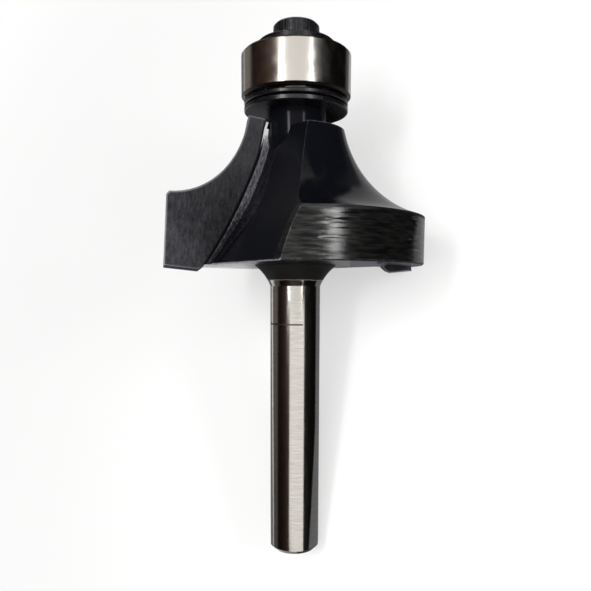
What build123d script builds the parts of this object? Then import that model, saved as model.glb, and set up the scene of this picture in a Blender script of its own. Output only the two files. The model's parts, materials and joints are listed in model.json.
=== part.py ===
from build123d import *

import os
from math import acos, asin, atan2, cos, radians, sin, sqrt

# Two-flute carbide-tipped round-over router bit, guided by a ball bearing on its end.
# Sizes in millimetres. The cutter is drawn upright on Z, the end of its shank at Z 0,
# and is laid down as it comes to rest in the last section.

# Shank and neck
shank_diameter = 6.0
shank_chamfer = 0.5
shank_length = 32.6
neck_length = 2.44
neck_flare = 1.9
neck_sag = 0.23

# Edge: the bearing's rim is level with the start of the round-over
round_over_radius = 9.525
bearing_diameter = 12.7

# Head, its heights above its shank-side face
body_relief = 0.775
land_height = 5.36
land_chamfer = 0.15
shoulder_height = 15.46
shoulder_relief = 0.65
shoulder_sag = 1.89
boss_radius = 3.5
boss_height = 17.56
core_cone_radius = 2.6
core_cone_bottom = 11.46
core_cone_top = 14.56

# Rake face: one flat plane behind the axis, hooked and sheared, that the gullet leaves
rake_turn = 40.0
rake_shear = 13.0
rake_offset = 3.5
rake_height = 3.96

# Gullet: its wall runs from a curve on the rake face to a curve on a plane in front of it.
# Points are (outwards, upwards) on those planes.
gullet_root = [(10.6, -6.5), (5.6, 2.0), (4.05, 2.15), (2.3, 13.5)]
gullet_mouth = [(11.9, -6.5), (9.4, 12.2), (9.4, 1.3), (2.75, 13.5)]
gullet_reach = 16.0
gullet_overrun = 6.0

# Carbide inserts: the round-over's centre above the head's shank-side face, the gap that the
# inserts leave below the washers, and the points of their inner side (outwards, upwards) on
# the rake face
arc_centre_height = 17.1
insert_top_gap = 1.1
insert_overhang = 0.19
corner_break = 0.35
insert_thickness = 1.6
insert_relief = 15.0
insert_drop = 10.0
insert_toe = (10.8, -4.6)
insert_heel = (10.1, -4.1)
insert_waist = (6.3, 3.3)
insert_nose = (3.45, 12.83)

# Spacer washer and dust shield
post_clearance = 0.02
disc_inset = 0.32
disc_chamfer = 0.08
spacer_thickness = 0.55
dust_shield_height = 0.96
dust_disc_level = 0.2
dust_disc_thickness = 0.45
dust_hub_inset = 0.2

# Ball bearing
bearing_bore = 4.762
bearing_width = 4.978
inner_ring_wall = 1.22
inner_ring_chamfer = 0.12
outer_ring_wall = 1.23
outer_ring_chamfer = 0.25
ball_count = 7
ball_diameter = 2.381
ball_play = 0.05
cage_band = 0.78
cage_sheet = 0.2
cover_wall = 0.9
cover_running_gap = 0.12
cover_thickness = 0.25
cover_level = 1.85
snap_groove_wall = 0.73
snap_ring_width = 0.5
snap_ring_thickness = 0.22
snap_ring_opening = 2.3
fit = 0.02

# Cupped clamp washer and cap screw
post_recess = 0.2
clamp_washer_diameter = 8.6
clamp_washer_floor = 0.4
clamp_washer_rim = 1.55
clamp_washer_height = 2.75
clamp_washer_lip = 0.12
clamp_washer_chamfer = 0.1
screw_head_clearance = 0.06
screw_diameter = 3.0
screw_hole_clearance = 0.1
screw_length = 8.0
screw_tip_chamfer = 0.3
screw_head_diameter = 5.3
screw_head_height = 2.9
screw_head_chamfer = 0.25
screw_socket_across_flats = 2.5
screw_socket_depth = 1.3
thread_clearance = 0.05
tapped_hole_runout = 1.0

# Radii that follow
shank_radius = shank_diameter / 2
bearing_radius = bearing_diameter / 2
cutting_radius = bearing_radius + round_over_radius
land_radius = cutting_radius - body_relief
shoulder_radius = bearing_radius - shoulder_relief
disc_radius = bearing_radius - disc_inset
bore_radius = bearing_bore / 2
post_radius = bore_radius - post_clearance
inner_shoulder_radius = bore_radius + inner_ring_wall
outer_shoulder_radius = bearing_radius - outer_ring_wall
pitch_radius = (bore_radius + bearing_radius) / 2
ball_radius = ball_diameter / 2
raceway_radius = ball_radius + ball_play
cover_recess_radius = bearing_radius - cover_wall
snap_groove_radius = bearing_radius - snap_groove_wall
screw_radius = screw_diameter / 2

# Levels that follow
head_bottom = shank_length + neck_length
land_top = head_bottom + land_height
shoulder_top = head_bottom + shoulder_height
arc_centre = head_bottom + arc_centre_height
insert_bottom = head_bottom - insert_overhang
rake_level = head_bottom + rake_height
boss_top = head_bottom + boss_height
insert_top = boss_top - insert_top_gap
spacer_top = boss_top + spacer_thickness
bearing_bottom = spacer_top + dust_shield_height
half_width = bearing_width / 2
bearing_middle = bearing_bottom + half_width
bearing_top = bearing_bottom + bearing_width
post_top = bearing_top - post_recess
screw_seat = bearing_top + clamp_washer_floor
screw_top = screw_seat + screw_head_height


def rake_plane(side):
    """Plane of one rake face: X outwards, Y upwards, Z into the wing behind the face."""
    turn = radians(rake_turn + side * 180)
    shear = radians(rake_shear)
    foot = Vector(sin(turn), -cos(turn), 0) * rake_offset + Vector(0, 0, rake_level)
    into_wing = (sin(turn) * cos(shear), -cos(turn) * cos(shear), sin(shear))
    return Plane(origin=foot, x_dir=(cos(turn), sin(turn), 0), z_dir=into_wing)


def on_rake(radius, height):
    """Point of the rake plane that lies at this radius from the axis and this height."""
    up = (height - rake_level) / cos(radians(rake_shear))
    offset = rake_offset - up * sin(radians(rake_shear))
    return sqrt(radius**2 - offset**2), up


def cutting_profile():
    """Points of the cutting arc on the rake plane, from the insert's nose to its corner."""
    points = []
    start = sqrt(round_over_radius**2 - (arc_centre - insert_top) ** 2)
    first = atan2(arc_centre - insert_top, start)
    last = acos(corner_break / round_over_radius)
    steps = 8
    for step in range(steps + 1):
        angle = first + (last - first) * step / steps
        radius = cutting_radius - round_over_radius * cos(angle)
        points.append(on_rake(radius, arc_centre - round_over_radius * sin(angle)))
    return points


# Carbide inserts, ground flush with the rake face, their flanks relieved behind the edge
inserts = []
for side in range(2):
    plane = rake_plane(side)
    tip_angle = radians(rake_turn + side * 180) - asin(rake_offset / cutting_radius)
    relief = radians(insert_relief)
    backwards = Vector(sin(tip_angle), -cos(tip_angle), 0) * cos(relief)
    inwards = Vector(cos(tip_angle), sin(tip_angle), 0) * sin(relief)
    flank = backwards - inwards - Vector(0, 0, sin(radians(insert_drop)))
    with BuildPart() as insert:
        with BuildSketch(plane):
            with BuildLine():
                arc = Spline(*cutting_profile())
                upper_corner = on_rake(cutting_radius, arc_centre - round_over_radius - corner_break)
                lower_corner = on_rake(cutting_radius, insert_bottom)
                Polyline(arc @ 1, upper_corner, lower_corner, insert_toe, insert_heel)
                ThreePointArc(insert_heel, insert_waist, insert_nose)
                Line(insert_nose, arc @ 0)
            make_face()
        extrude(amount=insert_thickness, dir=flank)
    insert.part.label = ("carbide_insert_right", "carbide_insert_left")[side]
    inserts.append(insert.part)


# Gullet cutter for one flute
def gullet_outline(curve):
    """Closed outline from a wall curve out past the head."""
    wall = Bezier(*curve)
    outside = cutting_radius + gullet_overrun
    Polyline(wall @ 1, (outside, curve[-1][1]), (outside, curve[0][1]), wall @ 0)


with BuildPart() as gullet:
    with BuildSketch(rake_plane(0)):
        with BuildLine():
            gullet_outline(gullet_root)
        make_face()
    with BuildSketch(rake_plane(0).offset(-gullet_reach)):
        with BuildLine():
            gullet_outline(gullet_mouth)
        make_face()
    loft(ruled=True)


# Cutter body: the head is turned and milled, then joined by its shank, boss and post
with BuildPart() as cutter_body:
    with BuildSketch(Plane.XZ):
        with BuildLine():
            Polyline(
                (0, shoulder_top),
                (0, head_bottom),
                (land_radius - land_chamfer, head_bottom),
                (land_radius, head_bottom + land_chamfer),
                (land_radius, land_top),
            )
            SagittaArc((land_radius, land_top), (shoulder_radius, shoulder_top), shoulder_sag)
            Line((shoulder_radius, shoulder_top), (0, shoulder_top))
        make_face()
    revolve(axis=Axis.Z)
    with PolarLocations(0, 2):
        add(gullet.part, mode=Mode.SUBTRACT)
    with BuildSketch(Plane.XZ):
        with BuildLine():
            Polyline(
                (0, head_bottom),
                (0, 0),
                (shank_radius - shank_chamfer, 0),
                (shank_radius, shank_chamfer),
                (shank_radius, shank_length),
            )
            neck_root = (shank_radius + neck_flare, head_bottom)
            SagittaArc((shank_radius, shank_length), neck_root, neck_sag)
            Line(neck_root, (0, head_bottom))
        make_face()
    revolve(axis=Axis.Z)
    with BuildSketch(Plane.XZ):
        with BuildLine():
            Polyline(
                (0, head_bottom + core_cone_bottom),
                (core_cone_radius, head_bottom + core_cone_bottom),
                (boss_radius, head_bottom + core_cone_top),
                (boss_radius, boss_top),
                (0, boss_top),
                close=True,
            )
        make_face()
    revolve(axis=Axis.Z)
    with BuildSketch(Plane.XY.offset(boss_top)):
        Circle(post_radius)
    extrude(amount=post_top - boss_top)
    with BuildSketch(Plane.XY.offset(post_top)):
        Circle(screw_radius)
    tapped_depth = screw_length + tapped_hole_runout - (screw_seat - post_top)
    extrude(amount=-tapped_depth, mode=Mode.SUBTRACT)
    for part in inserts:
        add(part, mode=Mode.SUBTRACT)
cutter_body.part.label = "cutter_body"


# Spacer washer and dust shield between the boss and the bearing's inner ring
with BuildPart() as spacer_washer:
    with BuildSketch(Plane.XY.offset(boss_top)):
        Circle(disc_radius)
        Circle(bore_radius, mode=Mode.SUBTRACT)
    extrude(amount=spacer_thickness)
    rims = spacer_washer.edges().filter_by(GeomType.CIRCLE).group_by(SortBy.RADIUS)[-1]
    chamfer(rims, disc_chamfer)
spacer_washer.part.label = "spacer_washer"

with BuildPart() as dust_shield:
    with BuildSketch(Plane.XY.offset(spacer_top)):
        Circle(inner_shoulder_radius - dust_hub_inset)
    extrude(amount=dust_shield_height)
    with BuildSketch(Plane.XY.offset(spacer_top + dust_disc_level)):
        Circle(disc_radius)
    extrude(amount=dust_disc_thickness)
    rims = dust_shield.edges().filter_by(GeomType.CIRCLE).group_by(SortBy.RADIUS)[-1]
    chamfer(rims, disc_chamfer)
    with BuildSketch(Plane.XY.offset(spacer_top)):
        Circle(bore_radius)
    extrude(amount=dust_shield_height, mode=Mode.SUBTRACT)
dust_shield.part.label = "dust_shield"

# Ball bearing rings, with their raceways
with BuildPart() as bearing_inner_ring:
    with BuildSketch(Plane.XZ):
        with Locations((bore_radius + inner_ring_wall / 2, bearing_middle)):
            Rectangle(inner_ring_wall, bearing_width)
        chamfer(vertices(), inner_ring_chamfer)
        with Locations((pitch_radius, bearing_middle)):
            Circle(raceway_radius, mode=Mode.SUBTRACT)
    revolve(axis=Axis.Z)
bearing_inner_ring.part.label = "bearing_inner_ring"

with BuildPart() as bearing_outer_ring:
    with BuildSketch(Plane.XZ):
        with Locations((bearing_radius - outer_ring_wall / 2, bearing_middle)):
            Rectangle(outer_ring_wall, bearing_width)
        chamfer(vertices().group_by(Axis.X)[-1], outer_ring_chamfer)
        with Locations((pitch_radius, bearing_middle)):
            Circle(raceway_radius, mode=Mode.SUBTRACT)
        for face_side in (-1, 1):
            cover_seat = bearing_middle + face_side * cover_level
            recess_depth = half_width - cover_level
            with Locations((outer_shoulder_radius, cover_seat + face_side * recess_depth / 2)):
                Rectangle(2 * (cover_recess_radius - outer_shoulder_radius), recess_depth,
                          mode=Mode.SUBTRACT)
            snap_middle = cover_seat + face_side * (cover_thickness + snap_ring_thickness / 2 + fit)
            with Locations((outer_shoulder_radius, snap_middle)):
                Rectangle(2 * (snap_groove_radius - outer_shoulder_radius),
                          snap_ring_thickness + 2 * fit, mode=Mode.SUBTRACT)
    revolve(axis=Axis.Z)
bearing_outer_ring.part.label = "bearing_outer_ring"

# Covers and the snap rings that hold them in the outer ring
covers = []
for face_side, level_name in ((-1, "lower"), (1, "upper")):
    with BuildPart() as bearing_cover:
        with BuildSketch(Plane.XY.offset(bearing_middle + face_side * cover_level)):
            Circle(cover_recess_radius - fit)
            Circle(inner_shoulder_radius + cover_running_gap, mode=Mode.SUBTRACT)
        extrude(amount=face_side * cover_thickness)
    bearing_cover.part.label = "bearing_cover_" + level_name
    covers.append(bearing_cover.part)
    with BuildPart() as snap_ring:
        snap_level = bearing_middle + face_side * (cover_level + cover_thickness + fit)
        with BuildSketch(Plane.XY.offset(snap_level)):
            Circle(snap_groove_radius - fit)
            Circle(snap_groove_radius - fit - snap_ring_width, mode=Mode.SUBTRACT)
            with Locations((snap_groove_radius, 0)):
                Rectangle(snap_groove_radius, snap_ring_opening, mode=Mode.SUBTRACT)
        extrude(amount=face_side * snap_ring_thickness)
    snap_ring.part.label = "snap_ring_" + level_name
    covers.append(snap_ring.part)

# Balls, and the two pressed cage halves that wrap them
ball_spots = [
    Vector(pitch_radius * cos(turn), pitch_radius * sin(turn), bearing_middle)
    for turn in [radians(360 * number / ball_count) for number in range(ball_count)]
]
balls = []
for number, spot in enumerate(ball_spots, start=1):
    with BuildPart(Plane(origin=spot)) as ball:
        Sphere(ball_radius)
    ball.part.label = f"ball_{number}"
    balls.append(ball.part)

cage_halves = []
for face_side, level_name in ((-1, "lower"), (1, "upper")):
    with BuildPart() as cage_half:
        with BuildSketch(Plane.XY.offset(bearing_middle)):
            Circle(pitch_radius + cage_band / 2)
        extrude(amount=face_side * cage_sheet)
        with Locations(*ball_spots):
            Sphere(raceway_radius + cage_sheet)
        with BuildSketch(Plane.XY.offset(bearing_middle)):
            Circle(pitch_radius + cage_band / 2)
            Circle(pitch_radius - cage_band / 2, mode=Mode.SUBTRACT)
        extrude(amount=face_side * half_width, mode=Mode.INTERSECT)
        with Locations(*ball_spots):
            Sphere(raceway_radius, mode=Mode.SUBTRACT)
    cage_half.part.label = "cage_half_" + level_name
    cage_halves.append(cage_half.part)

# Clamp washer: a cone that rises from its rim to the screw's head, which sits in its cup
with BuildPart() as clamp_washer:
    cup_radius = screw_head_diameter / 2 + screw_head_clearance
    rim_radius = clamp_washer_diameter / 2
    with BuildSketch(Plane.XZ):
        with BuildLine():
            Polyline(
                (screw_radius + screw_hole_clearance, bearing_top),
                (rim_radius - clamp_washer_chamfer, bearing_top),
                (rim_radius, bearing_top + clamp_washer_chamfer),
                (rim_radius, bearing_top + clamp_washer_rim),
                (cup_radius + clamp_washer_lip, bearing_top + clamp_washer_height),
                (cup_radius, bearing_top + clamp_washer_height),
                (cup_radius, screw_seat),
                (screw_radius + screw_hole_clearance, screw_seat),
                close=True,
            )
        make_face()
    revolve(axis=Axis.Z)
clamp_washer.part.label = "clamp_washer"

with BuildPart() as cap_screw:
    with BuildSketch(Plane.XY.offset(screw_seat)):
        Circle(screw_head_diameter / 2)
    extrude(amount=screw_head_height)
    chamfer(cap_screw.edges().group_by(Axis.Z)[-1], screw_head_chamfer)
    with BuildSketch(Plane.XY.offset(screw_seat)):
        Circle(screw_radius - thread_clearance)
    extrude(amount=-screw_length)
    chamfer(cap_screw.edges().group_by(Axis.Z)[0], screw_tip_chamfer)
    with BuildSketch(Plane.XY.offset(screw_top)):
        RegularPolygon(screw_socket_across_flats / 2, 6, major_radius=False)
    extrude(amount=-screw_socket_depth, mode=Mode.SUBTRACT)
cap_screw.part.label = "cap_screw"

pieces = [cutter_body.part, *inserts, spacer_washer.part, dust_shield.part,
          bearing_inner_ring.part, bearing_outer_ring.part, *covers, *balls, *cage_halves,
          clamp_washer.part, cap_screw.part]

# The bit at rest: it lies on the shank-side corner of one cutting edge, on the back corner of
# the other wing across the gullet, and on the rim of the shank's end.
edge_corner = rake_plane(0).from_local_coords(Vector(*on_rake(cutting_radius, insert_bottom), 0))
rim_level = head_bottom + land_chamfer
half_chamfer = land_chamfer / 2
rim_corners = cutter_body.vertices().filter_by_position(
    Axis.Z, rim_level - half_chamfer, rim_level + half_chamfer
)
wing_corner = Vector(*rim_corners.sort_by(Axis.Y)[-1])
downwards = (edge_corner + wing_corner).normalized()
for step in range(8):
    heel = downwards * shank_radius + Vector(0, 0, shank_chamfer)
    upwards = (edge_corner - heel).cross(wing_corner - heel).normalized()
    downwards = Vector(-upwards.X, -upwards.Y, 0).normalized()
along = (Vector(0, 0, 1) - upwards * upwards.Z).normalized()

# The resting frame has its origin below the middle of the whole bit, on the surface it lies on
floor = Plane(origin=heel, x_dir=along, z_dir=upwards)
box = Compound(children=[floor.to_local_coords(piece) for piece in pieces]).bounding_box()
middle = floor.from_local_coords(Vector(box.center().X, box.center().Y, box.min.Z))
resting = Plane(origin=middle, x_dir=along, z_dir=upwards)

os.makedirs("parts", exist_ok=True)
for piece in pieces:
    laid = resting.to_local_coords(piece)
    laid.label = piece.label
    export_step(laid, f"parts/{piece.label}.step")

# Places on the axis in the resting frame, for the joints and the mounts
stations = {
    "shank end": 0,
    "shank middle": (shank_chamfer + shank_length) / 2,
    "bearing middle": bearing_middle,
    "screw top": screw_top,
}
for name, height in stations.items():
    print(name, tuple(resting.to_local_coords(Vector(0, 0, height))))
for number, spot in enumerate(ball_spots, start=1):
    print("ball", number, tuple(resting.to_local_coords(spot)))
print("origin on the cutter", tuple(middle), "along", tuple(along), "upwards", tuple(upwards))
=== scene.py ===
import json
from math import cos, pi, radians, sin

import bmesh
import bpy
from mathutils import Matrix, Vector

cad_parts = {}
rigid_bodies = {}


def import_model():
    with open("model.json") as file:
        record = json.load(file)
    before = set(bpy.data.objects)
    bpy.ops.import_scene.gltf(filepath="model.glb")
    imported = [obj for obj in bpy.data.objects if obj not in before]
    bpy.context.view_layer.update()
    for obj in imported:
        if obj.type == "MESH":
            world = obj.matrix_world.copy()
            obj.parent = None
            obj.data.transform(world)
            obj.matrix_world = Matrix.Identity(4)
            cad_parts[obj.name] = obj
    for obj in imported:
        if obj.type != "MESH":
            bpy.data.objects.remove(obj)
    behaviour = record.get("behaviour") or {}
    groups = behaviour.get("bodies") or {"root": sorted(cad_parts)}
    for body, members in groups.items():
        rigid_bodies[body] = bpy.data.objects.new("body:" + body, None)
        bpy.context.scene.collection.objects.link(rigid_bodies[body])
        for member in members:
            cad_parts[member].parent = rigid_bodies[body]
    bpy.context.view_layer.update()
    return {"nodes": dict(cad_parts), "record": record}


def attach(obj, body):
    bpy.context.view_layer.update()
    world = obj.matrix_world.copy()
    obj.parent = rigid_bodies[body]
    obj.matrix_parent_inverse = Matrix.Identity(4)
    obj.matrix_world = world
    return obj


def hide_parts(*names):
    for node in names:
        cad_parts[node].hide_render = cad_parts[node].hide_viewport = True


for spare in list(bpy.data.objects):  # the start-up scene's cube, lamp and camera
    bpy.data.objects.remove(spare)
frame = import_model()
nodes = frame["nodes"]
mm = 0.001

# The bit's own axes: z runs along it from the end of its shank, x to the right of its front
# and y away from its front. Lengths in these axes are in millimetres.
bit = {
    "shankMiddle": 16.55,  # from the end of the shank to the middle of its mount
    "upTurn": 236.9,       # degrees about z, from x, of the side that lies uppermost
}
shankMount = next(m for m in frame["record"]["mounts"] if m["name"] == "shank")
bitZ = -Vector(shankMount["axis"]).normalized()
uppermost = (Vector((0, 0, 1)) - bitZ * bitZ.z).normalized()
sideways = bitZ.cross(uppermost)
upTurn = radians(bit["upTurn"])
bitX = uppermost * cos(upTurn) - sideways * sin(upTurn)
bitY = uppermost * sin(upTurn) + sideways * cos(upTurn)
bitFrame = Matrix((bitX, bitY, bitZ)).transposed().to_4x4()
bitFrame.translation = Vector(shankMount["pos_m"]) - bitZ * bit["shankMiddle"] * mm


def fromBit(x, y, z):
    return bitFrame @ (Vector((x, y, z)) * mm)


# Places on the bit: levels along it, and radii. Two of them are the ends of a soft border.
levels = {
    "shankChamfer": 1.2,
    "insertionLine": 28.1,
    "coatEdge": 33.3,            # the ground shank ends and the black coat starts
    "headBottom": 35.04,
    "landFoot": (35.0, 35.2),
    "landRim": (40.0, 40.25),
    "landEnd": (40.45, 40.2),
    "landTop": 40.4,
    "rubbedLess": (39.0, 44.0),  # the head's corners are rubbed less and less
    "bossFoot": 49.0,
    "insertTop": (51.0, 52.4),   # the painted highlight on the inserts' keen edges fades
}
radii = {
    "boss": 3.8,
    "bossEdge": (4.6, 5.2),
    "innerRing": 5.9,
    "neck": 8.0,
    "landTop": 13.9,
    "land": (14.0, 14.2),
}

# The rake faces, one flat plane for each flute, and the joint between insert and wing on them
rake = {
    "turn": 40.0,              # degrees about z
    "shear": 13.0,             # degrees
    "offset": 3.5,
    "level": 39.0,
    "joint": ((10.1, -4.1), (6.3, 3.3), (3.45, 12.83)),  # outwards and upwards
    "lap": 0.42,               # how far the ground strip, with its painted highlight, laps over the insert near its top
    "lapLevels": (8.8, 11.8),
    "lapTop": 12.5,
    "tipHighlightLevels": (9.8, 11.3),  # where a painted highlight brightens the strip's top
}


def rakeAxes(side):
    turn = radians(rake["turn"] + 180 * side)
    shear = radians(rake["shear"])
    foot = Vector((sin(turn), -cos(turn), 0)) * rake["offset"] + Vector((0, 0, rake["level"]))
    outwards = Vector((cos(turn), sin(turn), 0))
    behind = Vector((sin(turn) * cos(shear), -cos(turn) * cos(shear), sin(shear)))
    return foot, outwards, behind.cross(outwards), behind


def circleThrough(first, second, third):
    # centre and radius of the circle through three points of a plane
    (ax, ay), (bx, by), (cx, cy) = first, second, third
    d = 2 * (ax * (by - cy) + bx * (cy - ay) + cx * (ay - by))
    aa, bb, cc = ax * ax + ay * ay, bx * bx + by * by, cx * cx + cy * cy
    x = (aa * (by - cy) + bb * (cy - ay) + cc * (ay - by)) / d
    y = (aa * (cx - bx) + bb * (ax - cx) + cc * (bx - ax)) / d
    return (x, y), ((ax - x) ** 2 + (ay - y) ** 2) ** 0.5


def toLinear(hexColour):
    parts = [int(hexColour[i:i + 2], 16) / 255 for i in (1, 3, 5)]
    return [p / 12.92 if p <= 0.04045 else ((p + 0.055) / 1.055) ** 2.4 for p in parts] + [1.0]


def addNode(tree, kind, inputs=None, **settings):
    node = tree.nodes.new(kind)
    for name, value in settings.items():
        setattr(node, name, value)
    for key, value in (inputs or {}).items():
        if isinstance(value, bpy.types.NodeSocket):
            tree.links.new(value, node.inputs[key])
        else:
            node.inputs[key].default_value = value
    return node


def newMaterial(name, colour, metallic, roughness, specular=0.5):
    material = bpy.data.materials.new(name)
    material.use_nodes = True
    tree = material.node_tree
    shader = tree.nodes["Principled BSDF"]
    shader.inputs["Base Color"].default_value = toLinear(colour)
    shader.inputs["Metallic"].default_value = metallic
    shader.inputs["Roughness"].default_value = roughness
    shader.inputs["Specular IOR Level"].default_value = specular
    return material, tree, shader


def bitCoordinates(tree):
    place = addNode(tree, "ShaderNodeTexCoord")
    turned = addNode(tree, "ShaderNodeMapping", {
        "Vector": place.outputs["Object"],
        "Location": bitFrame.translation,
        "Rotation": bitFrame.to_euler(),
        "Scale": (mm, mm, mm),
    }, vector_type="TEXTURE")
    return turned.outputs["Vector"]


def math(tree, operation, *values, clamp=False):
    inputs = dict(enumerate(values))
    return addNode(tree, "ShaderNodeMath", inputs, operation=operation, use_clamp=clamp).outputs[0]


def times(tree, first, second, clamp=False):
    return math(tree, "MULTIPLY", first, second, clamp=clamp)


def vectors(tree, operation, *values):
    inputs = dict(enumerate(values))
    return addNode(tree, "ShaderNodeVectorMath", inputs, operation=operation).outputs["Vector"]


def ramp(tree, value, low, high, toLow=0.0, toHigh=1.0, soft=False):
    kind = "SMOOTHSTEP" if soft else "LINEAR"
    return addNode(tree, "ShaderNodeMapRange", {
        "Value": value, "From Min": low, "From Max": high, "To Min": toLow, "To Max": toHigh,
    }, interpolation_type=kind).outputs["Result"]


def stretched(tree, vector, scale):
    return addNode(tree, "ShaderNodeMapping", {"Vector": vector, "Scale": scale}).outputs["Vector"]


def noise(tree, vector, scale, detail=2.0, rough=0.5):
    return addNode(tree, "ShaderNodeTexNoise", {
        "Vector": vector, "Scale": scale, "Detail": detail, "Roughness": rough,
    }).outputs["Fac"]


def mixColour(tree, factor, first, second):
    mixed = addNode(tree, "ShaderNodeMix", data_type="RGBA")
    for index, value in {0: factor, 6: first, 7: second}.items():  # the colour sockets
        if isinstance(value, bpy.types.NodeSocket):
            tree.links.new(value, mixed.inputs[index])
        else:
            mixed.inputs[index].default_value = value
    return mixed.outputs[2]


def mixValue(tree, factor, first, second):
    return addNode(tree, "ShaderNodeMix", {0: factor, 2: first, 3: second},
                   data_type="FLOAT").outputs[0]


def bump(tree, height, distance, strength=1.0, normal=None):
    inputs = {"Height": height, "Distance": distance, "Strength": strength}
    if normal:
        inputs["Normal"] = normal
    return addNode(tree, "ShaderNodeBump", inputs).outputs["Normal"]


def dot(tree, vector, direction):
    return addNode(tree, "ShaderNodeVectorMath", {0: vector, 1: direction},
                   operation="DOT_PRODUCT").outputs["Value"]


def alongBit(tree, place):
    return addNode(tree, "ShaderNodeSeparateXYZ", {"Vector": place}).outputs["Z"]


def fromAxis(tree, place):
    return addNode(tree, "ShaderNodeVectorMath", {0: stretched(tree, place, (1, 1, 0))},
                   operation="LENGTH").outputs["Value"]


def onChamfer(tree, normal, width):
    # faces at a slope to the axis
    return math(tree, "COMPARE", math(tree, "ABSOLUTE", dot(tree, normal, bitZ)), 0.65, width)


def sharpEdges(tree, width):
    # 1 on the solid's outward corners, 0 a little way off them
    hidden = addNode(tree, "ShaderNodeAmbientOcclusion", {"Distance": width * mm},
                     inside=True, only_local=True, samples=8).outputs["AO"]
    return math(tree, "SUBTRACT", 1.0, hidden, clamp=True)


def rakeMasks(tree, place):
    # where a rake face lies, and the distance from the joint, negative on the insert's side
    normal = addNode(tree, "ShaderNodeNewGeometry").outputs["True Normal"]
    centre, radius = circleThrough(*rake["joint"])
    onFace, fromJoint, upFace = None, None, None
    for side in range(2):
        foot, outwards, upwards, behind = rakeAxes(side)
        slope = dot(tree, normal, bitFrame.to_3x3() @ behind)
        level = math(tree, "COMPARE", dot(tree, place, behind), foot.dot(behind), 0.04)
        face = times(tree, level, math(tree, "LESS_THAN", slope, -0.99))
        out = math(tree, "SUBTRACT", dot(tree, place, outwards), foot.dot(outwards) + centre[0])
        up = math(tree, "SUBTRACT", dot(tree, place, upwards), foot.dot(upwards) + centre[1])
        squares = math(tree, "MULTIPLY_ADD", up, up, times(tree, out, out))
        beyond = math(tree, "SUBTRACT", math(tree, "SQRT", squares), radius)
        if side == 0:
            onFace, fromJoint, upFace = face, beyond, math(tree, "ADD", up, centre[1])
        else:
            fromJoint = mixValue(tree, face, fromJoint, beyond)
            upFace = mixValue(tree, face, upFace, math(tree, "ADD", up, centre[1]))
            onFace = math(tree, "MAXIMUM", onFace, face)
    # near its top the ground strip, with its painted highlight, laps over the insert
    lap = ramp(tree, upFace, *rake["lapLevels"], 0.0, rake["lap"])
    fromJoint = math(tree, "ADD", fromJoint, lap)
    return onFace, fromJoint, upFace


# Cutter body: tool steel, turned and milled, under a thin glossy black coat that shows the
# turning rows. The shank below the coat and the strip beside each insert are ground bare,
# and the sharp edges of the coat are rubbed through to the steel.
body = {
    "coat": "#090a0e",
    "coatDust": "#0d0e13",
    "neckTone": "#1b1b19",
    "rowShade": "#1f1f21",      # the land's turning rows
    "rowCrest": "#3e3e3c",
    "edge": "#a9abb4",
    "shankSteel": "#d6d3cc",
    "shankShade": "#bdbab3",
    "etchedLineAndChamferShade": "#4b4944",        # the insertion line, and a painted shade on the chamfer at the shank's end
    "rakeSteel": "#8f8d96",     # the ground strip
    "rakeShade": "#2e2d32",
    # painted highlight at the top of the ground strip
    "paintedTipHighlight": "#eeeef0",
    "braze": "#08080a",
    "coatGloss": 0.08,          # specular level: a thin coat mirrors little from straight ahead
    "rubbedMetal": 0.5,         # how far each mirrors as bare metal does
    "landMetal": 0.85,
    "stripMetal": (0.55, 0.3),  # along the strip, and under its painted highlight at the top
    "roughness": {
        "coat": 0.085,
        "rows": 0.14,           # added by the turning rows
        "land": (0.17, 0.26),
        "landRim": 0.6,
        "gullet": 0.42,
        "boss": 0.12,
        "neck": 0.36,
        "rubbed": 0.4,
        "shank": 0.08,
        "shankWear": 0.12,      # added where the shank is worn
        "strip": 0.6,
        "line": 0.5,
    },
    "rowPitch": 0.32,           # mm between turning rows on the land
    "rowWobble": 0.10,          # how far the rows throw a reflection sideways
    "streakThrow": 0.17,        # the same for the few long streaks
    "throwShares": (0.1, 1.0, 0.06),  # on the coat, the land and the shank
    "edgeWidth": 0.2,           # mm
    "brazeWidth": 0.32,         # mm on the wing's side of the joint
    "stripWidth": 1.38,         # mm from the joint, ground bare
    "lineWidth": 0.17,          # mm, the insertion line across the shank
    "lineEnd": (0.9, 0.6),      # mm: the line covers this side of these x and y
    "relief": 0.02,             # mm
    # spots in a mm, or in a mm of x, y and z
    "grain": 9.0,
    "clouds": 1.3,
    "patches": 2.2,
    "rings": (0.4, 0.4, 16),
    "wear": (1.5, 1.5, 0.35),
    "scratches": (5, 5, 1.6),
}


def gulletWalls(tree, place, normal, z):
    # the walls that don't follow the turning
    radial = vectors(tree, "NORMALIZE", stretched(tree, place, (1, 1, 0)))
    crosswise = vectors(tree, "CROSS_PRODUCT", (0, 0, 1), radial)
    spread = addNode(tree, "ShaderNodeSeparateXYZ", {"Vector": crosswise})
    facing = math(tree, "ADD", times(tree, spread.outputs["X"], dot(tree, normal, bitX)),
                  times(tree, spread.outputs["Y"], dot(tree, normal, bitY)))
    milled = ramp(tree, math(tree, "ABSOLUTE", facing), 0.2, 0.3)
    return times(tree, milled, math(tree, "GREATER_THAN", z, levels["headBottom"]))


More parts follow.
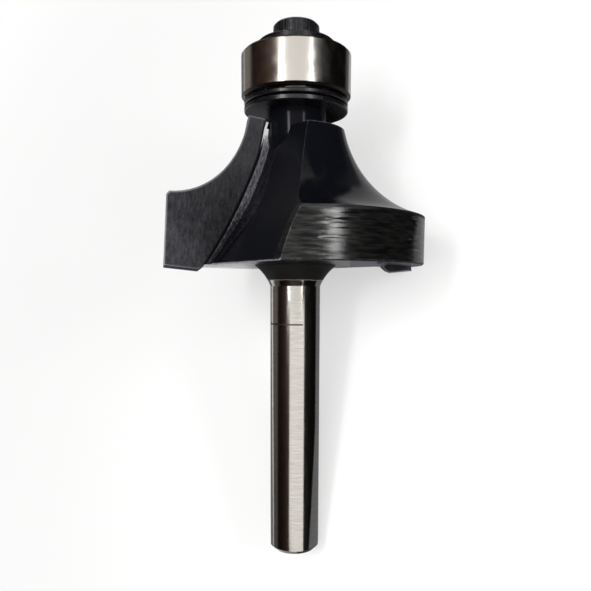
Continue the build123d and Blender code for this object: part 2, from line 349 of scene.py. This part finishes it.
def groundShank(tree, place, normal, cloud):
    # where the shank is bare, its colour and roughness, and its fine rings
    parts = addNode(tree, "ShaderNodeSeparateXYZ", {"Vector": place})
    x, y, z = parts.outputs["X"], parts.outputs["Y"], parts.outputs["Z"]
    edge = levels["coatEdge"]
    bare = ramp(tree, math(tree, "MULTIPLY_ADD", cloud, 0.15, z), edge + 0.02, edge + 0.12, 1, 0)
    rings = noise(tree, stretched(tree, place, body["rings"]), 1.0, 3, 0.7)
    steel = mixColour(tree, ramp(tree, rings, 0.35, 0.65), toLinear(body["shankShade"]),
                      toLinear(body["shankSteel"]))
    line = math(tree, "COMPARE", z, levels["insertionLine"], body["lineWidth"] / 2)
    line = times(tree, line, math(tree, "LESS_THAN", x, body["lineEnd"][0]))
    line = times(tree, line, math(tree, "LESS_THAN", y, body["lineEnd"][1]))
    steel = mixColour(tree, line, steel, toLinear(body["etchedLineAndChamferShade"]))
    # painted shade: the chamfer at the shank's end is darker
    chamfer = times(tree, onChamfer(tree, normal, 0.32),
                    math(tree, "LESS_THAN", z, levels["shankChamfer"]))
    steel = mixColour(tree, chamfer, steel, toLinear(body["etchedLineAndChamferShade"]))
    rough = body["roughness"]
    wear = noise(tree, stretched(tree, place, body["wear"]), 1.0, 3, 0.6)
    gloss = math(tree, "MULTIPLY_ADD", wear, rough["shankWear"], rough["shank"])
    return bare, steel, mixValue(tree, line, gloss, rough["line"]), rings


def groundStrip(tree, place, cloud, grain):
    # the strip beside an insert, with the dark braze in the joint and painted highlights beside
    # the
    # braze and near its top: where it lies, its colour, its share of metal and its scratches
    onFace, fromJoint, upFace = rakeMasks(tree, place)
    ground = math(tree, "MULTIPLY_ADD", cloud, 0.2, body["stripWidth"] - 0.1)
    onFace = times(tree, onFace, math(tree, "LESS_THAN", fromJoint, ground))
    scratches = noise(tree, stretched(tree, place, body["scratches"]), 1.0, 4, 0.75)
    # painted highlight: the strip is lighter beside the braze
    border = ramp(tree, fromJoint, body["brazeWidth"], body["brazeWidth"] + 0.25, 0.12, 0.0)
    # painted highlight: the strip turns bright near its top
    bright = math(tree, "MULTIPLY_ADD", ramp(tree, upFace, *rake["tipHighlightLevels"]), 0.45, scratches)
    bright = math(tree, "ADD", bright, border)
    # darker towards the bottom of the strip
    bright = math(tree, "ADD", bright, ramp(tree, upFace, 0.0, 3.5, -0.16, 0.0))
    steel = mixColour(tree, ramp(tree, bright, 0.36, 0.66), toLinear(body["rakeShade"]),
                      toLinear(body["rakeSteel"]))
    steel = mixColour(tree, ramp(tree, bright, 0.72, 0.95), steel, toLinear(body["paintedTipHighlight"]))
    ragged = math(tree, "MULTIPLY_ADD", grain, 0.12, body["brazeWidth"] - 0.06)
    braze = math(tree, "LESS_THAN", fromJoint, ragged)
    steel = mixColour(tree, braze, steel, toLinear(body["braze"]))
    low, paintedTipHighlight = body["stripMetal"]
    metal = math(tree, "MULTIPLY_ADD", braze, -low, ramp(tree, upFace, 8.5, 11.0, low, paintedTipHighlight))
    return onFace, steel, times(tree, onFace, metal, clamp=True), scratches


def rubbedEdges(tree, place, z, radius):
    # the head's outward corners, in patches and less so high on the wings, but neither the
    # boss nor the upper rim of the land
    rim = math(tree, "COMPARE", z, levels["landTop"], 0.22)
    rim = times(tree, rim, math(tree, "GREATER_THAN", radius, radii["landTop"]))
    away = times(tree, ramp(tree, radius, *radii["bossEdge"]), math(tree, "SUBTRACT", 1.0, rim))
    patchy = ramp(tree, noise(tree, place, body["patches"], 3, 0.7), 0.38, 0.62)
    rubbed = times(tree, ramp(tree, sharpEdges(tree, body["edgeWidth"]), 0.12, 0.42),
                   times(tree, away, math(tree, "MULTIPLY_ADD", patchy, 0.75, 0.25)))
    return times(tree, rubbed, ramp(tree, z, *levels["rubbedLess"], 1.3, 0.3))


def turnedLand(tree, place, z, radius, rubbed):
    # the turning rows, and where the land shows them
    rows = noise(tree, stretched(tree, place, (0.45, 0.45, 1 / body["rowPitch"])), 1.0, 3, 0.6)
    onLand = times(tree, ramp(tree, z, *levels["landFoot"]), ramp(tree, z, *levels["landEnd"]))
    onLand = times(tree, onLand, ramp(tree, radius, *radii["land"]))
    return rows, times(tree, onLand, math(tree, "SUBTRACT", 1.0, rubbed))


def thrownNormal(tree, place, normal, rows, share):
    # the rows throw a reflection to the sides
    tangent = vectors(tree, "CROSS_PRODUCT", bitZ, normal)
    streaks = noise(tree, stretched(tree, place, (0.3, 0.3, 1.7 / body["rowPitch"])), 1.0, 2, 0.5)
    streaks = ramp(tree, streaks, 0.55, 0.75, 0.0, body["streakThrow"])
    wobble = math(tree, "MULTIPLY_ADD", math(tree, "SUBTRACT", rows, 0.5), body["rowWobble"],
                  streaks)
    aside = addNode(tree, "ShaderNodeVectorMath", {
        0: tangent, "Scale": times(tree, wobble, share)}, operation="SCALE").outputs["Vector"]
    return vectors(tree, "NORMALIZE", vectors(tree, "ADD", normal, aside))


def coatedSteel():
    material, tree, shader = newMaterial("blackCoatedToolSteel", body["coat"], 0.0, 0.2,
                                         body["coatGloss"])
    place = bitCoordinates(tree)
    normal = addNode(tree, "ShaderNodeNewGeometry").outputs["Normal"]
    z, radius = alongBit(tree, place), fromAxis(tree, place)
    grain = noise(tree, place, body["grain"], 3, 0.7)
    cloud = noise(tree, place, body["clouds"], 2)
    bare, shankSteel, shankGloss, rings = groundShank(tree, place, normal, cloud)
    onFace, rakeSteel, stripMetal, scratches = groundStrip(tree, place, cloud, grain)
    rubbed = rubbedEdges(tree, place, z, radius)
    rows, onLand = turnedLand(tree, place, z, radius, rubbed)

    # the coat is lighter on the neck, burnished on the land, and shows steel along its edges
    coat = mixColour(tree, grain, toLinear(body["coat"]), toLinear(body["coatDust"]))
    neck = times(tree, math(tree, "LESS_THAN", z, levels["headBottom"] - 0.02),
                 math(tree, "LESS_THAN", radius, radii["neck"]))
    coat = mixColour(tree, neck, coat, toLinear(body["neckTone"]))
    coat = mixColour(tree, rubbed, coat, toLinear(body["edge"]))
    burnished = mixColour(tree, ramp(tree, rows, 0.35, 0.65), toLinear(body["rowShade"]),
                          toLinear(body["rowCrest"]))
    coat = mixColour(tree, onLand, coat, burnished)
    colour = mixColour(tree, onFace, mixColour(tree, bare, coat, shankSteel), rakeSteel)
    tree.links.new(colour, shader.inputs["Base Color"])
    metal = math(tree, "MAXIMUM", bare, times(tree, rubbed, body["rubbedMetal"]))
    metal = math(tree, "MAXIMUM", metal, times(tree, onLand, body["landMetal"]))
    tree.links.new(mixValue(tree, onFace, metal, stripMetal), shader.inputs["Metallic"])

    # turning rows on the land and, weaker, on the shoulder
    rough = body["roughness"]
    landRim = times(tree, onLand, ramp(tree, z, *levels["landRim"]))
    gullets = gulletWalls(tree, place, normal, z)
    boss = times(tree, math(tree, "LESS_THAN", radius, radii["boss"]),
                 math(tree, "GREATER_THAN", z, levels["bossFoot"]))
    landGloss = ramp(tree, rows, 0.3, 0.7, *rough["land"])
    gloss = times(tree, ramp(tree, rows, 0.35, 0.7), rough["rows"])
    gloss = math(tree, "MULTIPLY_ADD", gloss, ramp(tree, onLand, 0, 1, 0.25, 1.0), rough["coat"])
    finer = ((onLand, landGloss), (landRim, rough["landRim"]), (gullets, rough["gullet"]),
             (boss, rough["boss"]), (neck, rough["neck"]), (rubbed, rough["rubbed"]),
             (bare, shankGloss), (onFace, rough["strip"]))
    for mask, value in finer:
        gloss = mixValue(tree, mask, gloss, value)
    tree.links.new(gloss, shader.inputs["Roughness"])

    # plain relief, over the rows' sideways throw
    onCoat, onRows, onShank = body["throwShares"]
    share = ramp(tree, onLand, 0, 1, onCoat, onRows)
    share = times(tree, share, math(tree, "SUBTRACT", 1.0, onFace))
    share = mixValue(tree, bare, share, onShank)
    turned = thrownNormal(tree, place, normal, rows, share)
    height = mixValue(tree, bare, times(tree, grain, 0.15), times(tree, rings, 0.12))
    height = mixValue(tree, onFace, height, scratches)
    relief = bump(tree, height, body["relief"] * mm, normal=turned)
    tree.links.new(relief, shader.inputs["Normal"])
    return material


# Inserts: sintered carbide, ground to a matte dark grey with a fine even grain, lighter towards
# the top of the face, and a painted highlight along the keen edges. Black braze shows along the
# joint, but near the top of the joint the ground strip, with its painted highlight, laps over it.
carbide = {
    "colour": "#6f6f74",
    "dark": "#333338",
    # painted highlight along the keen edges
    "edge": "#b9bcc0",
    "braze": "#08080a",
    "metal": 0.85,
    "lapMetal": 0.35,
    "roughness": (0.38, 0.56),
    "grain": 0.14,             # mm
    "scratches": (3.2, 3.2, 0.9),
    "relief": 0.03,            # mm
    "edgeWidth": 0.22,         # mm
    "brazeWidth": 0.15,        # mm on the insert's side of the joint
}


def groundCarbide():
    material, tree, shader = newMaterial("groundCarbide", carbide["colour"], carbide["metal"],
                                         0.45)
    place = bitCoordinates(tree)
    onFace, fromJoint, upFace = rakeMasks(tree, place)
    grain = noise(tree, place, 1 / carbide["grain"], 4, 0.75)
    scratches = noise(tree, stretched(tree, place, carbide["scratches"]), 1.0, 4, 0.75)
    cloud = noise(tree, place, 0.5, 2)
    fleck = math(tree, "ADD", times(tree, scratches, 0.6), times(tree, grain, 0.5))
    fleck = ramp(tree, math(tree, "MULTIPLY_ADD", cloud, 0.3, fleck), 0.52, 0.9)
    # lighter towards the top of the face
    fleck = math(tree, "ADD", fleck, ramp(tree, upFace, 1.0, 11.0, -0.2, 0.25), clamp=True)
    colour = mixColour(tree, fleck, toLinear(carbide["dark"]), toLinear(carbide["colour"]))
    # painted highlight along the keen edges, fading near the inserts' top
    keen = ramp(tree, sharpEdges(tree, carbide["edgeWidth"]), 0.1, 0.4)
    keen = times(tree, keen, ramp(tree, alongBit(tree, place), *levels["insertTop"], 1.0, 0.05))
    colour = mixColour(tree, times(tree, keen, 0.8), colour, toLinear(carbide["edge"]))

    braze = math(tree, "GREATER_THAN", fromJoint, -carbide["brazeWidth"])
    braze = times(tree, braze, onFace)
    # painted highlight: near its top the ground strip's colour laps over the insert
    lapped = times(tree, math(tree, "GREATER_THAN", fromJoint, 0.1),
                   math(tree, "LESS_THAN", upFace, rake["lapTop"]))
    steel = mixColour(tree, ramp(tree, upFace, *rake["tipHighlightLevels"]), toLinear(body["rakeSteel"]),
                      toLinear(body["paintedTipHighlight"]))
    painted = mixColour(tree, lapped, toLinear(carbide["braze"]), steel)
    tree.links.new(mixColour(tree, braze, colour, painted), shader.inputs["Base Color"])
    dull = times(tree, braze, math(tree, "MULTIPLY_ADD", lapped, -carbide["lapMetal"], 1.0))
    tree.links.new(math(tree, "MULTIPLY_ADD", dull, -carbide["metal"], carbide["metal"]),
                   shader.inputs["Metallic"])
    tree.links.new(ramp(tree, grain, 0.3, 0.7, *carbide["roughness"]), shader.inputs["Roughness"])
    relief = math(tree, "MULTIPLY_ADD", grain, 0.7, scratches)
    tree.links.new(bump(tree, relief, carbide["relief"] * mm, 0.8), shader.inputs["Normal"])
    return material


# Bearing: through-hardened steel, its rings ground round and bright, a painted shade on the
# chamfers, and sheet steel over the balls
bearing = {
    "colour": "#d9d5cd",
    "skin": "#3a3735",
    "cover": "#a9a7a3",
    "roughness": (0.12, 0.22),
    "shadedChamferRoughness": 0.4,
    "coverRoughness": (0.24, 0.38),
    "ringPitch": 0.05,         # mm
    "relief": 0.001,           # mm
}


def bearingSteel():
    material, tree, shader = newMaterial("groundBearingSteel", bearing["colour"], 1.0, 0.12)
    place = bitCoordinates(tree)
    rings = noise(tree, stretched(tree, place, (0.3, 0.3, 1 / bearing["ringPitch"])), 1.0, 2, 0.6)
    smear = noise(tree, place, 0.8, 3, 0.6)
    normal = addNode(tree, "ShaderNodeNewGeometry").outputs["True Normal"]
    # painted shade on the outer chamfers
    chamfer = times(tree, onChamfer(tree, normal, 0.3),
                    math(tree, "GREATER_THAN", fromAxis(tree, place), radii["innerRing"]))
    colour = mixColour(tree, chamfer, toLinear(bearing["colour"]), toLinear(bearing["skin"]))
    tree.links.new(colour, shader.inputs["Base Color"])
    gloss = ramp(tree, smear, 0.3, 0.7, *bearing["roughness"])
    tree.links.new(mixValue(tree, chamfer, gloss, bearing["shadedChamferRoughness"]),
                   shader.inputs["Roughness"])
    tree.links.new(bump(tree, rings, bearing["relief"] * mm), shader.inputs["Normal"])
    return material


def pressedSteel():
    material, tree, shader = newMaterial("pressedSheetSteel", bearing["cover"], 1.0, 0.3)
    grain = noise(tree, bitCoordinates(tree), 6.0, 3)
    tree.links.new(ramp(tree, grain, 0.3, 0.7, *bearing["coverRoughness"]),
                   shader.inputs["Roughness"])
    return material


# Screw, cup washer and discs: turned steel under black oxide, satin with a little sparkle
oxide = {
    "colour": "#08080b",
    "worn": "#27262c",
    "roughness": (0.16, 0.36),
    "grain": 7.0,              # spots in a mm
    "relief": 0.012,           # mm
    "edgeWidth": 0.12,         # mm
}


def blackOxide():
    material, tree, shader = newMaterial("blackOxideSteel", oxide["colour"], 0.0, 0.3)
    place = bitCoordinates(tree)
    grain = noise(tree, place, oxide["grain"], 4, 0.7)
    speck = ramp(tree, grain, 0.52, 0.7)
    keen = ramp(tree, sharpEdges(tree, oxide["edgeWidth"]), 0.1, 0.4)
    colour = mixColour(tree, math(tree, "MAXIMUM", speck, times(tree, keen, 0.7)),
                       toLinear(oxide["colour"]), toLinear(oxide["worn"]))
    tree.links.new(colour, shader.inputs["Base Color"])
    tree.links.new(ramp(tree, grain, 0.3, 0.7, *oxide["roughness"]), shader.inputs["Roughness"])
    tree.links.new(bump(tree, grain, oxide["relief"] * mm, 0.7), shader.inputs["Normal"])
    return material


materials = {
    "cutter_body": coatedSteel(),
    "carbide": groundCarbide(),
    "ring": bearingSteel(),
    "sheet": pressedSteel(),
    "oxide": blackOxide(),
}
finishes = {
    "cutter_body": ["cutter_body"],
    "carbide": ["carbide_insert_right", "carbide_insert_left"],
    "ring": ["bearing_inner_ring", "bearing_outer_ring"] + [f"ball_{k}" for k in range(1, 8)],
    "sheet": ["bearing_cover_lower", "bearing_cover_upper", "snap_ring_lower",
              "snap_ring_upper", "cage_half_lower", "cage_half_upper"],
    "oxide": ["spacer_washer", "dust_shield", "clamp_washer", "cap_screw"],
}
for finish, names in finishes.items():
    for name in names:
        for slot in nodes[name].material_slots:
            slot.material = materials[finish]
print("materials on", sum(len(names) for names in finishes.values()), "nodes")

# Clamp washer, a cup for the screw's head
washer = {
    "seat": 59.088,    # the bearing's upper face
    "floor": 0.4,
    "height": 1.2,
    "radius": 4.5,
    "cup": 2.76,       # takes the knurled head
    "hole": 1.6,
    "chamfer": 0.1,
    "around": 96,
}
# Straight knurl round the cap screw's head
knurl = {
    "ridges": 44,
    "rootRadius": 2.62,
    "depth": 0.06,
    "bottom": 59.55,
    "top": 62.1,
    "width": 0.36,
}


def addObject(name, data, place=None):
    shown = bpy.data.objects.new(name, data)
    if place:
        shown.matrix_world = place
    bpy.context.collection.objects.link(shown)
    return shown


def solidOf(name, mesh, finish):
    mesh.materials.clear()
    mesh.materials.append(materials[finish])
    return addObject(name, mesh)


def turnedMesh(name, profile, around):
    # closed ring from a profile of (radius, level) points
    mesh = bmesh.new()
    rings = []
    for k in range(around):
        turn = 2 * pi * k / around
        rings.append([mesh.verts.new(fromBit(r * cos(turn), r * sin(turn), z))
                      for r, z in profile])
    count = len(profile)
    for k in range(around):
        first, second = rings[k], rings[(k + 1) % around]
        for j in range(count):
            mesh.faces.new((first[j], second[j], second[(j + 1) % count], first[(j + 1) % count]))
    bmesh.ops.recalc_face_normals(mesh, faces=mesh.faces)
    result = bpy.data.meshes.new(name)
    mesh.to_mesh(result)
    mesh.free()
    return result


def makeWasher():
    w = washer
    top, low, c = w["seat"] + w["height"], w["seat"], w["chamfer"]
    profile = [(w["hole"], low), (w["radius"] - c, low), (w["radius"], low + c),
               (w["radius"], top - c), (w["radius"] - c, top), (w["cup"], top),
               (w["cup"], low + w["floor"]), (w["hole"], low + w["floor"])]
    piece = solidOf("cupWasher", turnedMesh("cupWasher", profile, w["around"]), "oxide")
    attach(piece, "cutter")
    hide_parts("clamp_washer")
    print("cup washer made")


def knurlTree():
    tree = bpy.data.node_groups.new("straightKnurl", "GeometryNodeTree")
    tree.is_modifier = True
    face = tree.interface
    sizes = {"Ridges": ("NodeSocketInt", knurl["ridges"]),
             "Radius": ("NodeSocketFloat", knurl["rootRadius"] * mm),
             "Bottom": ("NodeSocketFloat", knurl["bottom"] * mm),
             "Top": ("NodeSocketFloat", knurl["top"] * mm),
             "Width": ("NodeSocketFloat", knurl["width"] * mm),
             "Depth": ("NodeSocketFloat", knurl["depth"] * mm)}
    for name, (kind, _) in sizes.items():
        face.new_socket(name, in_out="INPUT", socket_type=kind)
    face.new_socket("Geometry", in_out="OUTPUT", socket_type="NodeSocketGeometry")
    given = addNode(tree, "NodeGroupInput").outputs
    # one ridge: a three-sided bar, crest outwards, at first 1.5 deep and the root of 3 wide
    bar = addNode(tree, "GeometryNodeMeshCone", {
        "Vertices": 3, "Side Segments": 1, "Fill Segments": 1, "Radius Top": 1.0,
        "Radius Bottom": 1.0, "Depth": 1.0})
    size = addNode(tree, "ShaderNodeCombineXYZ", {
        "X": math(tree, "DIVIDE", given["Depth"], 1.5),
        "Y": math(tree, "DIVIDE", given["Width"], 3 ** 0.5),
        "Z": math(tree, "SUBTRACT", given["Top"], given["Bottom"])})
    ridge = addNode(tree, "GeometryNodeTransform", {
        "Geometry": bar.outputs["Mesh"], "Scale": size.outputs[0]})
    ring = addNode(tree, "GeometryNodeMeshCircle", {
        "Vertices": given["Ridges"], "Radius": given["Radius"]}, fill_type="NONE")
    place = addNode(tree, "GeometryNodeInputPosition").outputs[0]
    turned = addNode(tree, "FunctionNodeAlignEulerToVector", {"Vector": place}, axis="X")
    bars = addNode(tree, "GeometryNodeInstanceOnPoints", {
        "Points": ring.outputs["Mesh"], "Instance": ridge.outputs["Geometry"],
        "Rotation": turned.outputs[0]})
    up = addNode(tree, "ShaderNodeCombineXYZ", {"Z": given["Bottom"]})
    raised = addNode(tree, "GeometryNodeTransform", {
        "Geometry": bars.outputs["Instances"], "Translation": up.outputs[0]})
    stood = addNode(tree, "GeometryNodeTransform", {
        "Geometry": raised.outputs["Geometry"], "Translation": bitFrame.translation,
        "Rotation": bitFrame.to_euler()})
    real = addNode(tree, "GeometryNodeRealizeInstances", {"Geometry": stood.outputs["Geometry"]})
    painted = addNode(tree, "GeometryNodeSetMaterial", {
        "Geometry": real.outputs["Geometry"], "Material": materials["oxide"]})
    addNode(tree, "NodeGroupOutput", {"Geometry": painted.outputs["Geometry"]})
    return tree, {name: value for name, (_, value) in sizes.items()}


def makeKnurl():
    tree, values = knurlTree()
    holder = addObject("knurlHolder", bpy.data.meshes.new("knurlHolder"))
    modifier = holder.modifiers.new("knurl", "NODES")
    modifier.node_group = tree
    for item in tree.interface.items_tree:
        if item.in_out == "INPUT":
            modifier[item.identifier] = values[item.name]
    seen = bpy.context.evaluated_depsgraph_get()
    mesh = bpy.data.meshes.new_from_object(holder.evaluated_get(seen))
    bpy.data.objects.remove(holder)
    piece = solidOf("screwKnurl", mesh, "oxide")
    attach(piece, "cutter")
    print("knurl of", knurl["ridges"], "ridges,", len(mesh.polygons), "faces")


makeWasher()
makeKnurl()

# Camera, in the bit's axes
camera = {
    "stand": (0, -75.1956, 32.3825),  # mm
    "pitch": -0.1121,                 # radians
    "roll": 0.0041,
    "focal": 619.51 / 591,            # share of the picture's width
    "centre": (295.034 / 591, 357.628 / 591),
    "sensor": 36.0,                   # mm
    "clip": (0.005, 10),              # m
}


def makeCamera():
    lens = bpy.data.cameras.new("productCamera")
    lens.sensor_fit = "HORIZONTAL"
    lens.sensor_width = camera["sensor"]
    lens.lens = camera["focal"] * camera["sensor"]
    lens.shift_x = 0.5 - camera["centre"][0]
    lens.shift_y = camera["centre"][1] - 0.5
    lens.clip_start, lens.clip_end = camera["clip"]
    pitch, roll = camera["pitch"], camera["roll"]
    forward = bitY * cos(pitch) + bitZ * sin(pitch)
    level = bitZ * cos(pitch) - bitY * sin(pitch)
    right = bitX * cos(roll) + level * sin(roll)
    top = level * cos(roll) - bitX * sin(roll)
    place = Matrix.Translation(fromBit(*camera["stand"])) @ \
        Matrix((right, top, -forward)).transposed().to_4x4()
    bpy.context.scene.camera = addObject("productCamera", lens, place)


# Two broad soft lights in front of the bit, one below the other, two narrow bright ones at
# their borders, one beyond the screw for the bearing's face, and one on the left that the
# metal doesn't mirror. Turns are degrees to the right of the bit's front, lengths are mm.
lights = {
    "front": {"turn": 0, "distance": 200, "heights": (25, 160), "width": 300, "radiance": 0.85},
    "foot": {"turn": 16, "distance": 200, "heights": (-110, 25), "width": 345, "radiance": 1.05},
    "strip": {"distance": 190, "heights": (41, 106), "width": 24, "radiance": 24.0},
    "stripTop": {"distance": 190, "heights": (106, 160), "width": 24, "radiance": 1.6},
    "stripTurns": (-29, 32),
    "soft": {"turn": -25, "distance": 260, "heights": (-60, 190), "width": 300, "radiance": 2.0},
    "end": {"stand": (-20, -30, 290), "size": 150, "radiance": 0.8},
}


def around(turn, distance, height):
    return (distance * sin(radians(turn)), -distance * cos(radians(turn)), height)


def areaLamp(name, turn, distance, heights, width, radiance, glossy=True):
    # stands upright beside the bit, between two heights along it
    lamp = bpy.data.lights.new(name, "AREA")
    lamp.shape = "RECTANGLE"
    lamp.size = width * mm
    lamp.size_y = (heights[1] - heights[0]) * mm
    lamp.energy = radiance * pi * lamp.size * lamp.size_y
    here = around(turn, distance, (heights[0] + heights[1]) / 2)
    back = (bitFrame.to_3x3() @ Vector(around(turn, 1, 0))).normalized()
    place = Matrix.Translation(fromBit(*here)) @ \
        Matrix((bitZ.cross(back), bitZ, back)).transposed().to_4x4()
    addObject(name, lamp, place).visible_glossy = glossy


def endLamp():
    end = lights["end"]
    lamp = bpy.data.lights.new("endLight", "AREA")
    lamp.size = end["size"] * mm
    lamp.energy = end["radiance"] * pi * lamp.size ** 2
    addObject("endLight", lamp,
              Matrix.Translation(fromBit(*end["stand"])) @ bitFrame.to_3x3().to_4x4())


makeCamera()
areaLamp("frontLight", **lights["front"])
areaLamp("frontFoot", **lights["foot"])
endLamp()
for turn in lights["stripTurns"]:
    areaLamp(f"strip{turn}", turn, **lights["strip"])
    areaLamp(f"stripTop{turn}", turn, **lights["stripTop"])
areaLamp("softLight", **lights["soft"], glossy=False)
print("camera and", len(bpy.data.lights), "lamps made")

# Cards that only the bit's reflections show: upright ones on its right, by their corners in
# the bit's axes, and mats just above the floor, from one corner to the other in the frame's
# axes, because what the bit mirrors of the floor around it lies in its own shade. All in mm.
tones = {
    "card": "#0a0909",
    "greyCard": "#b4b4b4",
    "dimCard": "#747478",
    "darkCard": "#555558",
    "nightCard": "#1d1d1f",
}
uprights = {
    "rightCard": [(20, -34, 30), (20, -34, 84), (20, 8, 84), (20, 7.5, 57), (20, -3, 38),
                  (20, -6, 30)],
    "shankCard": [(10, -12.5, -8), (10, -12.5, 34.7), (10, 1.5, 34.7), (10, 1.5, -8)],
}
matHeight = 0.3
mats = {
    "card": [((8, 2), (30, 13))],
    "greyCard": [((8, -8), (46, 2)), ((8, -26), (30, -8))],
    "dimCard": [((30, 2), (46, 13)), ((34, 13), (110, 120)), ((8, 13), (34, 30)),
                ((-45, -22), (8, -0.5)), ((-60, 8), (6, 45))],
    "darkCard": [((30, -46), (78, -8))],
    "nightCard": [((78, -70), (260, 13)), ((46, -8), (78, 13))],
}


def flatMaterial(name, build):
    material = bpy.data.materials.new(name)
    material.use_nodes = True
    tree = material.node_tree
    tree.nodes.remove(tree.nodes["Principled BSDF"])
    tree.links.new(build(tree), tree.nodes["Material Output"].inputs["Surface"])
    return material


def toneMaterial(name, tone):
    # card that shows the same tone in any light
    return flatMaterial(name, lambda tree: addNode(tree, "ShaderNodeEmission", {
        "Color": toLinear(tone), "Strength": 1.0}).outputs[0])


def reflectedCard(name, corners, material):
    mesh = bpy.data.meshes.new(name)
    mesh.from_pydata([fromBit(*c) for c in corners], [], [tuple(range(len(corners)))])
    mesh.materials.append(material)
    panel = addObject(name, mesh)
    panel.visible_camera = False
    panel.visible_diffuse = False
    panel.visible_shadow = False


def mat(name, low, high, material):
    (x0, y0), (x1, y1) = low, high
    corners = [Vector((x, y, matHeight)) * mm
               for x, y in ((x0, y0), (x1, y0), (x1, y1), (x0, y1))]
    reflectedCard(name, [bitFrame.inverted() @ c / mm for c in corners], material)


black = toneMaterial("blackCard", tones["card"])
for name, corners in uprights.items():
    reflectedCard(name, corners, black)
for name, places in mats.items():
    shade = toneMaterial(name + "Shade", tones[name])
    for number, (low, high) in enumerate(places):
        mat(f"{name}Mat{number}", low, high, shade)
print("cards made:", len(uprights), "upright and", sum(map(len, mats.values())), "flat")

# The room behind the lamps, brownish on the left; the camera sees it white
room = {
    # shares of a turn about the bit, 0.5 in front of it
    "walls": ((0.0, "#77726f"), (0.185, "#77726f"), (0.215, "#150e0d"), (0.24, "#241815"),
              (0.285, "#30211c"), (0.32, "#3c2b25"), (0.36, "#4f4038"), (0.40, "#6f635a"),
              (0.62, "#3a3a3a"), (0.68, "#1c1a1b"), (0.84, "#1c1a1b"), (0.87, "#77726f"),
              (1.0, "#77726f")),
    "leftOf": 0.45,
    "lowTurn": 0.055,         # low down, what is left of that lies nearer the front
    "lowLevels": (0.02, 0.2),
    "dim": (0.5, 1.0),        # towards the shank's end and towards the screw
    "dimLevels": (-0.3, 0.2),
}


def makeRoom():
    world = bpy.data.worlds.new("studio")
    bpy.context.scene.world = world
    world.use_nodes = True
    tree = world.node_tree
    towards = addNode(tree, "ShaderNodeTexCoord").outputs["Generated"]
    level = dot(tree, towards, bitZ)
    turn = math(tree, "ARCTAN2", dot(tree, towards, bitX), dot(tree, towards, -bitY))
    turn = math(tree, "MULTIPLY_ADD", turn, 0.5 / pi, 0.5)
    low = ramp(tree, level, *room["lowLevels"], room["lowTurn"], 0.0)
    low = times(tree, low, math(tree, "LESS_THAN", turn, room["leftOf"]))
    walls = addNode(tree, "ShaderNodeValToRGB", {"Fac": math(tree, "SUBTRACT", turn, low)})
    stops = walls.color_ramp.elements
    for position, colour in room["walls"][1:-1]:
        stops.new(position).color = toLinear(colour)
    stops[0].color = toLinear(room["walls"][0][1])
    stops[-1].color = toLinear(room["walls"][-1][1])
    toCamera = addNode(tree, "ShaderNodeLightPath").outputs["Is Camera Ray"]
    tone = mixColour(tree, toCamera, walls.outputs["Color"], (1, 1, 1, 1))
    tree.links.new(tone, tree.nodes["Background"].inputs["Color"])
    dim = ramp(tree, level, *room["dimLevels"], *room["dim"])
    dim = math(tree, "MAXIMUM", dim, toCamera)
    tree.links.new(dim, tree.nodes["Background"].inputs["Strength"])


# White paper that glows a little for the camera, so that it shows white and keeps the shadow
paper = {
    "colour": "#f6f6f6",
    "glow": 0.5,
    "glowFade": (0.04, 0.13),  # m from the middle, the glow grows to full between them
    "reach": 0.6,              # m
    "level": -0.02,            # mm
}


def paperShader(tree):
    toCamera = addNode(tree, "ShaderNodeLightPath").outputs["Is Camera Ray"]
    lit = addNode(tree, "ShaderNodeBsdfDiffuse", {"Color": toLinear(paper["colour"])})
    glow = addNode(tree, "ShaderNodeEmission", {"Color": (1, 1, 1, 1), "Strength": 1.0})
    place = addNode(tree, "ShaderNodeTexCoord").outputs["Object"]
    far = addNode(tree, "ShaderNodeVectorMath", {0: place}, operation="LENGTH").outputs["Value"]
    share = times(tree, toCamera,
                  ramp(tree, far, *paper["glowFade"], paper["glow"], 1.0, soft=True))
    return addNode(tree, "ShaderNodeMixShader", {
        0: share, 1: lit.outputs[0], 2: glow.outputs[0]}).outputs[0]


def makeFloor():
    reach = paper["reach"]
    mesh = bpy.data.meshes.new("floor")
    mesh.from_pydata([(-reach, -reach, 0), (reach, -reach, 0), (reach, reach, 0),
                      (-reach, reach, 0)], [], [(0, 1, 2, 3)])
    mesh.materials.append(flatMaterial("whitePaper", paperShader))
    floor = addObject("floor", mesh)
    floor.location.z = paper["level"] * mm


makeRoom()
makeFloor()
bpy.context.scene.view_settings.view_transform = "Standard"
print("room and floor made")
